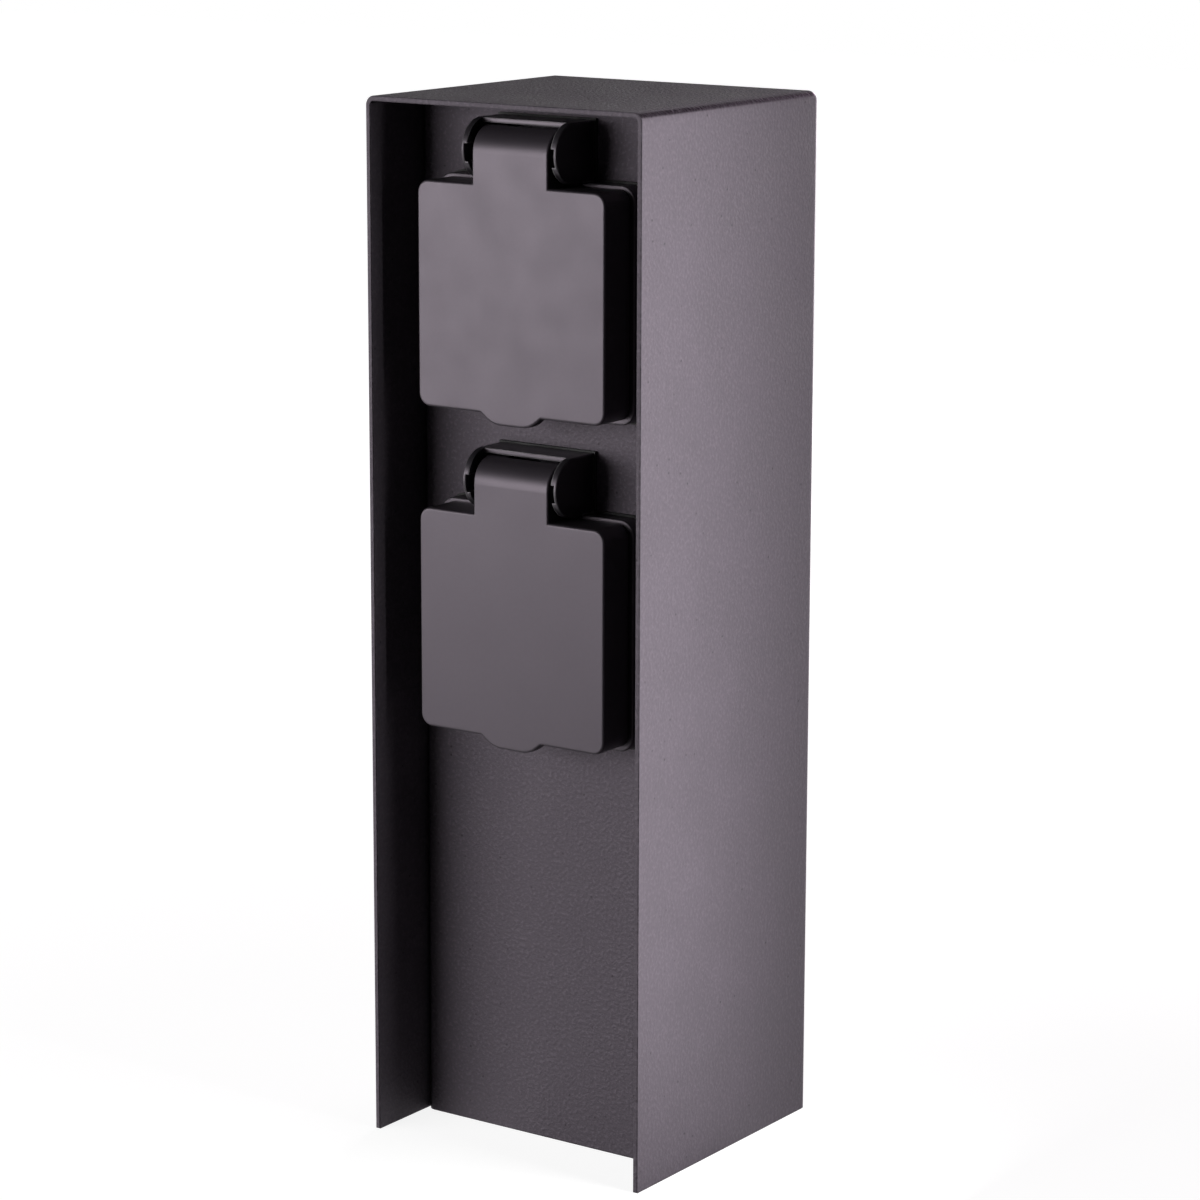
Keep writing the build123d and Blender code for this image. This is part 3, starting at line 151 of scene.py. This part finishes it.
def scaled_range(tree, value, low, high, to_low, to_high):
    """Maps a value from one range to another, clamped."""
    inputs = {"Value": value, "From Min": low, "From Max": high, "To Min": to_low, "To Max": to_high}
    return add_node(tree, "ShaderNodeMapRange", inputs).outputs["Result"]


def mix_colour(tree, factor, first, second, blend="MIX"):
    """Two colours mixed by a factor."""
    inputs = {0: factor, 6: first, 7: second}
    return add_node(
        tree, "ShaderNodeMix", inputs, data_type="RGBA", blend_type=blend
    ).outputs[2]


def new_group(name, inputs, outputs):
    """An empty shader group with named sockets: (tree, its inputs, its output node)."""
    tree = bpy.data.node_groups.new(name, "ShaderNodeTree")
    for label, kind, default in inputs:
        socket = tree.interface.new_socket(label, in_out="INPUT", socket_type=kind)
        if default is not None:
            socket.default_value = default
    for label, kind in outputs:
        tree.interface.new_socket(label, in_out="OUTPUT", socket_type=kind)
    entry = tree.nodes.new("NodeGroupInput")
    leave = tree.nodes.new("NodeGroupOutput")
    return tree, entry.outputs, leave


def use_group(tree, name, **values):
    """Places a shader group in a material; underscores in the names stand for spaces."""
    node = tree.nodes.new("ShaderNodeGroup")
    node.node_tree = bpy.data.node_groups[name]
    for label, value in values.items():
        fill_socket(tree, node.inputs[label.replace("_", " ")], value)
    return node.outputs


# Effects that several finishes share


def make_speckle_group():
    """Sparse round specks, such as nibs in a powder coat."""
    tree, entry, leave = new_group(
        "Speckle",
        [
            ("Vector", "NodeSocketVector", None),
            ("Scale", "NodeSocketFloat", 250.0),
            ("Size", "NodeSocketFloat", 0.12),
            ("Share", "NodeSocketFloat", 0.3),
        ],
        [("Mask", "NodeSocketFloat")],
    )
    inputs = {"Vector": entry["Vector"], "Scale": entry["Scale"]}
    cells = add_node(tree, "ShaderNodeTexVoronoi", inputs)
    red = add_node(tree, "ShaderNodeSeparateColor", {0: cells.outputs["Color"]}).outputs[0]
    chosen = math_node(tree, "LESS_THAN", red, entry["Share"])
    inner = math_node(tree, "MULTIPLY", entry["Size"], SPECK_CORE)
    near = scaled_range(tree, cells.outputs["Distance"], inner, entry["Size"], 1.0, 0.0)
    tree.links.new(math_node(tree, "MULTIPLY", chosen, near), leave.inputs["Mask"])


def make_mottle_group():
    """Slow, cloudy variation between two values."""
    tree, entry, leave = new_group(
        "Mottle",
        [
            ("Vector", "NodeSocketVector", None),
            ("Scale", "NodeSocketFloat", 20.0),
            ("Detail", "NodeSocketFloat", 3.0),
            ("Low", "NodeSocketFloat", 0.9),
            ("High", "NodeSocketFloat", 1.1),
        ],
        [("Value", "NodeSocketFloat")],
    )
    inputs = {"Vector": entry["Vector"], "Scale": entry["Scale"], "Detail": entry["Detail"]}
    cloud = add_node(tree, "ShaderNodeTexNoise", inputs).outputs[0]
    value = scaled_range(tree, cloud, *NOISE_RANGE, entry["Low"], entry["High"])
    tree.links.new(value, leave.inputs["Value"])


def make_edge_group():
    """A mask that is 1 on sharp edges: the coat paints dark lines there, the plastics paint
    highlights and the metals show rubbed wear.
    """
    tree, entry, leave = new_group(
        "Edge Light And Wear",
        [
            ("Vector", "NodeSocketVector", None),
            ("Width", "NodeSocketFloat", 0.0004),
            ("Gain", "NodeSocketFloat", 4.0),
            ("Breakup", "NodeSocketFloat", 300.0),
        ],
        [("Mask", "NodeSocketFloat"), ("Normal", "NodeSocketVector")],
    )
    inputs = {"Radius": entry["Width"]}
    soft = add_node(tree, "ShaderNodeBevel", inputs, samples=EDGE_STEPS).outputs[0]
    flat = add_node(tree, "ShaderNodeNewGeometry").outputs["Normal"]
    along = vector_node(tree, "DOT_PRODUCT", soft, flat)["Value"]
    away = math_node(tree, "SUBTRACT", 1.0, along)
    strong = math_node(tree, "MULTIPLY", away, entry["Gain"], clamp=True)
    inputs = {"Vector": entry["Vector"], "Scale": entry["Breakup"]}
    patches = add_node(tree, "ShaderNodeTexNoise", inputs).outputs[0]
    uneven = scaled_range(tree, patches, 0.35, 0.65, 0.35, 1.0)
    tree.links.new(math_node(tree, "MULTIPLY", strong, uneven), leave.inputs["Mask"])
    tree.links.new(soft, leave.inputs["Normal"])


def make_shared_effects():
    """Builds the shader groups once."""
    make_speckle_group()
    make_mottle_group()
    make_edge_group()


# Finishes


def start_finish(name):
    """A new material: (material, tree, its shader, object coordinates)."""
    material = bpy.data.materials.new(name)
    material.use_nodes = True
    tree = material.node_tree
    shader = tree.nodes["Principled BSDF"]
    place = add_node(tree, "ShaderNodeTexCoord").outputs["Object"]
    return material, tree, shader, place


def mottled(tree, place, scale, low, high, **values):
    """A cloudy value between two limits."""
    return use_group(tree, "Mottle", Vector=place, Scale=scale, Low=low, High=high, **values)["Value"]


def shaded(tree, colour, value):
    """A plain colour made lighter or darker by a value."""
    grey = add_node(tree, "ShaderNodeCombineColor", {0: value, 1: value, 2: value}).outputs[0]
    return mix_colour(tree, 1.0, (*colour, 1.0), grey, blend="MULTIPLY")


def scaled_colour(colour, factor, lift=0.0):
    """A colour made lighter or darker, with full alpha."""
    return (*(min(1.0, factor * part + lift) for part in colour), 1.0)


def bumped(tree, height, distance, strength, normal=None):
    """A normal from a height."""
    inputs = {"Height": height, "Distance": distance, "Strength": strength}
    if normal is not None:
        inputs["Normal"] = normal
    return add_node(tree, "ShaderNodeBump", inputs).outputs[0]


def coat_masks(tree, place):
    """How strong the coat's painted glints and bump are, least on the side walls and most on top
    faces, and a mask of the folds.
    """
    facing = add_node(tree, "ShaderNodeTexCoord").outputs["Normal"]
    parts = add_node(tree, "ShaderNodeSeparateXYZ", {0: facing}).outputs
    sideways = math_node(tree, "ABSOLUTE", parts["X"])
    upward = math_node(tree, "ABSOLUTE", parts["Z"])
    # Painted glints and bump are weakest on side walls and strongest on top faces.
    side_glints_and_bump = scaled_range(tree, sideways, *SIDE_RANGE, 0.7, 0.3)
    top_glints_and_bump = scaled_range(tree, upward, *TOP_RANGE, 0.0, 2.2)
    glint_and_bump_strength = math_node(tree, "ADD", side_glints_and_bump, top_glints_and_bump)
    across = math_node(tree, "MAXIMUM", math_node(tree, "ABSOLUTE", parts["Y"]), upward)
    slant = math_node(tree, "MULTIPLY", sideways, across)
    patches = mottled(tree, place, 300.0, 0.8, 1.0)
    folds = scaled_range(tree, slant, *FOLD_RANGE, 0.0, 1.0)
    return glint_and_bump_strength, math_node(tree, "MULTIPLY", folds, patches)


def powder_coat(colour):
    """Fine-textured coat on steel: cloudy and nibbed, with painted glints, and painted dark lines on
    folds and edges that stand in for their dark reflections.
    """
    material, tree, shader, place = start_finish("powder_coat")
    shader.inputs["Specular Tint"].default_value = SHEEN_TINT
    glint_and_bump_strength, bends = coat_masks(tree, place)
    clouds = mottled(tree, place, 60.0, 0.90, 1.10)
    grain = mottled(tree, place, 1200.0, 0.0, 1.0, Detail=2.0)
    fine = scaled_range(tree, grain, 0.0, 1.0, 0.90, 1.10)
    coat = shaded(tree, colour, math_node(tree, "MULTIPLY", clouds, fine))
    # Painted glints: the highest grain turns much lighter.
    painted_glints = scaled_range(tree, grain, *GLINT_RANGE, 0.0, 0.28)
    painted_glints = math_node(tree, "MULTIPLY", painted_glints, glint_and_bump_strength, clamp=True)
    coat = mix_colour(tree, painted_glints, coat, scaled_colour(colour, 2.5))
    nibs = use_group(tree, "Speckle", Vector=place, Scale=260.0, Size=0.10, Share=0.9)["Mask"]
    nibs = math_node(tree, "MULTIPLY", nibs, 0.8)
    coat = mix_colour(tree, nibs, coat, scaled_colour(colour, 0.2))
    # Painted dark lines: sharp edges and folds turn near black and metallic, standing in for their
    # dark reflections.
    edges = use_group(tree, "Edge Light And Wear", Vector=place, Width=0.0005, Gain=4.0)
    painted_dark_lines = math_node(tree, "MAXIMUM", edges["Mask"], bends)
    coat = mix_colour(tree, painted_dark_lines, coat, scaled_colour(colour, 0.04))
    tree.links.new(coat, shader.inputs["Base Color"])
    tree.links.new(math_node(tree, "MULTIPLY", painted_dark_lines, 0.92), shader.inputs["Metallic"])
    rough = mottled(tree, place, 60.0, 0.61, 0.71)
    rough = math_node(tree, "SUBTRACT", rough, math_node(tree, "MULTIPLY", painted_dark_lines, 0.3))
    tree.links.new(rough, shader.inputs["Roughness"])
    relief = math_node(tree, "MULTIPLY", grain, glint_and_bump_strength)
    relief = bumped(tree, relief, 0.00014, 1.0, edges["Normal"])
    tree.links.new(relief, shader.inputs["Normal"])
    return material


def moulded_plastic(
    name, colour, rough, highlight_share, grain_size=1500.0, sheen=0.04, highlight_lift=0.01, wear_and_highlight=0.0003
):
    """Satin moulding: very fine grain, faint flow clouds and a painted highlight along sharp edges.
    """
    material, tree, shader, place = start_finish(name)
    shader.inputs["Specular Tint"].default_value = SHEEN_TINT
    clouds = mottled(tree, place, 40.0, 1.0 - sheen, 1.0 + sheen)
    grain = mottled(tree, place, grain_size, 0.95, 1.05, Detail=2.0)
    edges = use_group(tree, "Edge Light And Wear", Vector=place, Width=wear_and_highlight, Gain=3.5)
    body = shaded(tree, colour, math_node(tree, "MULTIPLY", clouds, grain))
    # Painted highlight: sharp edges turn lighter, a thin bright line along each rim.
    rubbed_and_highlight = math_node(tree, "MULTIPLY", edges["Mask"], highlight_share)
    body = mix_colour(tree, rubbed_and_highlight, body, scaled_colour(colour, 1.6, highlight_lift))
    tree.links.new(body, shader.inputs["Base Color"])
    polish = mottled(tree, place, 90.0, rough - 0.03, rough + 0.03)
    tree.links.new(polish, shader.inputs["Roughness"])
    relief = bumped(tree, grain, 0.00003, 0.2, edges["Normal"])
    tree.links.new(relief, shader.inputs["Normal"])
    return material


def soft_rubber(colour):
    """Matt rubber with a dusty bloom."""
    material, tree, shader, place = start_finish("seal_rubber")
    grain = mottled(tree, place, 900.0, 0.8, 1.2, Detail=2.0)
    bloom = mottled(tree, place, 120.0, 0.0, 0.25)
    dusty = scaled_colour(colour, 1.0, 0.012)
    body = mix_colour(tree, bloom, shaded(tree, colour, grain), dusty)
    tree.links.new(body, shader.inputs["Base Color"])
    tree.links.new(mottled(tree, place, 150.0, 0.62, 0.8), shader.inputs["Roughness"])
    tree.links.new(bumped(tree, grain, 0.00005, 0.3), shader.inputs["Normal"])
    return material


def bare_metal(name, colour, rough, cloud_scale, cloud, brushed=0.0):
    """Plain or plated metal: cloudy lustre, fine scratches and bright edges."""
    material, tree, shader, place = start_finish(name)
    shader.inputs["Metallic"].default_value = 1.0
    clouds = mottled(tree, place, cloud_scale, 1.0 - cloud, 1.0)
    inputs = {"Vector": place, "Scale": (1.0, 1.0, 14.0)}
    stretch = add_node(tree, "ShaderNodeMapping", inputs).outputs[0]
    lines = mottled(tree, stretch, 500.0, 0.0, 1.0, Detail=2.0)
    edges = use_group(tree, "Edge Light And Wear", Vector=place, Width=0.0002, Gain=2.0)
    rubbed_and_highlight = math_node(tree, "MULTIPLY", edges["Mask"], 0.5)
    body = mix_colour(tree, rubbed_and_highlight, shaded(tree, colour, clouds), scaled_colour(colour, 1.25))
    tree.links.new(body, shader.inputs["Base Color"])
    spread = 0.06 + brushed
    wear_and_highlight = mottled(tree, place, 200.0, rough - spread, rough + spread)
    tree.links.new(wear_and_highlight, shader.inputs["Roughness"])
    relief = bumped(tree, lines, 0.00002, 0.12 + brushed, edges["Normal"])
    tree.links.new(relief, shader.inputs["Normal"])
    return material


def wire_insulation(name, colour, stripe):
    """Soft shiny cable insulation, with slanting stripes where a second colour is given."""
    material, tree, shader, place = start_finish(name)
    body = shaded(tree, colour, mottled(tree, place, 150.0, 0.9, 1.08))
    if stripe is not None:
        inputs = {"Vector": place, "Rotation": (0.6, 0.9, 0.4)}
        slant = add_node(tree, "ShaderNodeMapping", inputs).outputs[0]
        inputs = {"Vector": slant, "Scale": 95.0}
        bands = add_node(tree, "ShaderNodeTexWave", inputs).outputs["Fac"]
        share = scaled_range(tree, bands, *STRIPE_RANGE, 0.0, 1.0)
        body = mix_colour(tree, share, body, (*stripe, 1.0))
    tree.links.new(body, shader.inputs["Base Color"])
    tree.links.new(mottled(tree, place, 300.0, 0.32, 0.42), shader.inputs["Roughness"])
    return material


def dress(nodes, material):
    """Gives CAD nodes a finish in place of their packed one."""
    for name in nodes:
        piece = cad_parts[name]
        piece.data.materials.clear()
        piece.data.materials.append(material)


def both(*kinds):
    """The node names of both socket units."""
    return [f"{unit}_{kind}" for unit in UNITS for kind in kinds]


# Operators: one for each group of like pieces, and one for the stage


class POST_OT_case(Operator):
    """Coat the folded hood, the recessed front panel and the rear panel"""

    bl_idname = "post.case"
    bl_label = "Coat the Case"

    def execute(self, context):
        coat = powder_coat(context.scene.post_finishes.coat)
        dress(("outer_hood", "front_panel", "rear_panel"), coat)
        return {"FINISHED"}


class POST_OT_lids(Operator):
    """Finish the two hinged lids"""

    bl_idname = "post.lids"
    bl_label = "Finish the Lids"

    def execute(self, context):
        colour = context.scene.post_finishes.lid
        plastic = moulded_plastic("lid_plastic", colour, 0.42, 0.7, highlight_lift=0.09)
        dress(both("lid"), plastic)
        return {"FINISHED"}


class POST_OT_sockets(Operator):
    """Finish the socket bodies, their contact carriers and the terminal block"""

    bl_idname = "post.sockets"
    bl_label = "Finish the Sockets"

    def execute(self, context):
        colours = context.scene.post_finishes
        black = moulded_plastic("black_plastic", colours.body, 0.38, 0.9, highlight_lift=0.24, wear_and_highlight=0.0006)
        dress(both("socket_body"), black)
        pale = moulded_plastic("carrier_plastic", colours.carrier, 0.5, 0.1, 900.0, 0.06)
        dress(both("contact_carrier"), pale)
        grey = moulded_plastic("terminal_plastic", colours.terminal, 0.45, 0.1, 900.0, 0.05)
        dress(("terminal_block",), grey)
        return {"FINISHED"}


class POST_OT_rubber(Operator):
    """Finish the seals, gaskets, cable grommet and foot pad"""

    bl_idname = "post.rubber"
    bl_label = "Finish the Rubber Parts"

    def execute(self, context):
        rubber = soft_rubber(context.scene.post_finishes.rubber)
        parts = both("lid_seal", "panel_gasket") + ["base_pad", "cable_grommet"]
        dress(parts, rubber)
        return {"FINISHED"}


class POST_OT_metalwork(Operator):
    """Finish the base plate, fasteners, contacts and hinge springs"""

    bl_idname = "post.metalwork"
    bl_label = "Finish the Metalwork"

    def execute(self, context):
        colours = context.scene.post_finishes
        zinc = bare_metal("zinc", colours.zinc, 0.38, 90.0, 0.2)
        plated = [
            "base_plate",
            "clinch_nuts",
            "weld_studs",
            "stud_washers",
            "stud_nuts",
            "cable_clamp",
            "cable_clamp_screws",
            "terminal_block_screws",
            "terminal_pillar_screws",
            "earth_stud",
            "earth_washers",
            "earth_nut",
        ]
        dress(plated + both("carrier_screws", "terminal_screws", "flange_nuts"), zinc)
        steel = bare_metal("stainless", colours.stainless, 0.3, 200.0, 0.08, 0.05)
        dress(["rear_panel_screws"] + both("flange_screws", "hinge_pin"), steel)
        brass = bare_metal("brass", colours.brass, 0.3, 160.0, 0.18)
        contacts = ["terminal_pillars", "earth_lug"] + both("pin_contacts", "earth_clip")
        dress(contacts, brass)
        spring = bare_metal("spring_steel", colours.spring, 0.22, 300.0, 0.1)
        dress(both("hinge_spring"), spring)
        return {"FINISHED"}


class POST_OT_leads(Operator):
    """Colour the insulated leads inside the case"""

    bl_idname = "post.leads"
    bl_label = "Colour the Leads"

    def execute(self, context):
        colours = context.scene.post_finishes
        for wire, colour, stripe in (
            ("live", colours.live, None),
            ("neutral", colours.neutral, None),
            ("earth", colours.earth, colours.earth_stripe),
        ):
            slot = f"{wire}_insulation"
            dress((f"{wire}_leads",), wire_insulation(slot, colour, stripe))
        return {"FINISHED"}


def soft_box(name, azimuth, elevation, distance, size, power, aim, colour=WHITE):
    """A rectangular lamp aimed at the post. Azimuth 0 is straight in front, 90 to its right."""
    lamp = bpy.data.lights.new(name, "AREA")
    lamp.shape = "RECTANGLE"
    lamp.size, lamp.size_y = size
    lamp.energy = power
    lamp.color = colour
    holder = bpy.data.objects.new(name, lamp)
    bpy.context.scene.collection.objects.link(holder)
    turn, rise = math.radians(azimuth), math.radians(elevation)
    level = math.cos(rise)
    away = Vector((math.sin(turn) * level, -math.cos(turn) * level, math.sin(rise)))
    holder.location = Vector(aim) + away * distance
    holder.rotation_euler = away.to_track_quat("Z", "Y").to_euler()
    holder.visible_camera = False


def background_ray(tree, direction):
    """1 for rays that show the background, and less for mirror rays to the dark side."""
    rays = add_node(tree, "ShaderNodeLightPath").outputs
    level = vector_node(tree, "NORMALIZE", direction)["Vector"]
    toward = vector_node(tree, "DOT_PRODUCT", level, DARK_SIDE)["Value"]
    lit = scaled_range(tree, toward, *DARK_RANGE, 1.0, 0.0)
    mirrored = math_node(tree, "MULTIPLY", rays["Is Glossy Ray"], lit)
    seen = math_node(tree, "ADD", rays["Is Camera Ray"], mirrored)
    return math_node(tree, "ADD", seen, rays["Is Transmission Ray"], clamp=True)


class POST_OT_stage(Operator):
    """Set up the pale floor, the soft lamps and the camera"""

    bl_idname = "post.stage"
    bl_label = "Set Up the Stage"

    def execute(self, context):
        scene = context.scene
        stage = scene.post_stage
        scene.view_settings.view_transform = "Standard"
        self.make_world(scene, stage.fill)
        self.make_floor(stage.floor_width)
        soft_box("front_lamp", -35, 2, 1.0, (0.9, 0.62), stage.front_power, FRONT_AIM)
        soft_box("side_lamp", 90, 0, 0.065, (0.034, 0.31), stage.side_power, SIDE_AIM)
        soft_box("back_lamp", 182, 8, 1.1, (0.8, 0.55), stage.back_power, BACK_AIM, BACK_COLOUR)
        self.make_camera(scene, stage.lens)
        return {"FINISHED"}

    def make_world(self, scene, fill):
        """A white background for the camera, and a faint even light on the post."""
        world = bpy.data.worlds.new("studio")
        scene.world = world
        world.use_nodes = True
        tree = world.node_tree
        sky = tree.nodes["Background"]
        direction = add_node(tree, "ShaderNodeTexCoord").outputs["Generated"]
        strength = scaled_range(tree, background_ray(tree, direction), 0.0, 1.0, fill, 1.0)
        rise = add_node(tree, "ShaderNodeSeparateXYZ", {0: direction}).outputs["Z"]
        ceiling = scaled_range(tree, rise, *CEILING_RANGE, 1.0, CEILING_LEVEL)
        strength = math_node(tree, "MULTIPLY", strength, ceiling)
        tree.links.new(strength, sky.inputs["Strength"])
        sky.inputs["Color"].default_value = (*WHITE, 1.0)

    def make_floor(self, width):
        """A grey floor that glows white to the camera and keeps the post's shadow."""
        bpy.ops.object.select_all(action="DESELECT")
        bpy.ops.mesh.primitive_plane_add(size=width)
        floor = bpy.context.active_object
        floor.name = "floor"
        material, tree, shader, place = start_finish("pale_floor")
        shader.inputs["Base Color"].default_value = (*FLOOR_COLOUR, 1.0)
        shader.inputs["Roughness"].default_value = 0.9
        shader.inputs["Specular IOR Level"].default_value = 0.1
        reach = vector_node(tree, "LENGTH", place)["Value"]
        level = scaled_range(tree, reach, *FLOOR_REACH, *FLOOR_GLOW)
        strength = math_node(tree, "MULTIPLY", background_ray(tree, place), level)
        glow = add_node(tree, "ShaderNodeEmission", {"Strength": strength}).outputs[0]
        joined = add_node(tree, "ShaderNodeAddShader", {0: shader.outputs[0], 1: glow})
        tree.links.new(joined.outputs[0], tree.nodes["Material Output"].inputs["Surface"])
        floor.data.materials.append(material)

    def make_camera(self, scene, focal_length):
        """The photograph's viewpoint."""
        lens = bpy.data.cameras.new("studio_camera")
        lens.lens = focal_length
        lens.sensor_width = SENSOR_WIDTH
        lens.shift_x, lens.shift_y = CAMERA_SHIFT
        lens.clip_end = CAMERA_REACH
        camera = bpy.data.objects.new("studio_camera", lens)
        scene.collection.objects.link(camera)
        turned = Matrix((CAMERA_RIGHT, CAMERA_UP, -CAMERA_AHEAD)).transposed().to_4x4()
        camera.matrix_world = Matrix.Translation(CAMERA_PLACE) @ turned
        scene.camera = camera


class POST_PT_sidebar(Panel):
    """Lists the steps that dress the post"""

    bl_label = "Garden Socket Post"
    bl_space_type = "VIEW_3D"
    bl_region_type = "UI"
    bl_category = "Socket Post"

    def draw(self, context):
        for step in STEPS:
            self.layout.operator(step.bl_idname)
        for settings in (context.scene.post_finishes, context.scene.post_stage):
            column = self.layout.column()
            for name in settings.__annotations__:
                column.prop(settings, name)


STEPS = (
    POST_OT_stage,
    POST_OT_case,
    POST_OT_lids,
    POST_OT_sockets,
    POST_OT_rubber,
    POST_OT_metalwork,
    POST_OT_leads,
)
CLASSES = (PostFinishes, PostStage, *STEPS, POST_PT_sidebar)


def register():
    for item in CLASSES:
        bpy.utils.register_class(item)
    bpy.types.Scene.post_finishes = PointerProperty(type=PostFinishes)
    bpy.types.Scene.post_stage = PointerProperty(type=PostStage)


def unregister():
    del bpy.types.Scene.post_stage
    del bpy.types.Scene.post_finishes
    for item in reversed(CLASSES):
        bpy.utils.unregister_class(item)


def main():
    """Registers the add-on, builds the shared effects, then runs every step in order."""
    register()
    make_shared_effects()
    for step in STEPS:
        group, action = step.bl_idname.split(".")
        getattr(getattr(bpy.ops, group), action)()


if __name__ == "__main__":
    main()
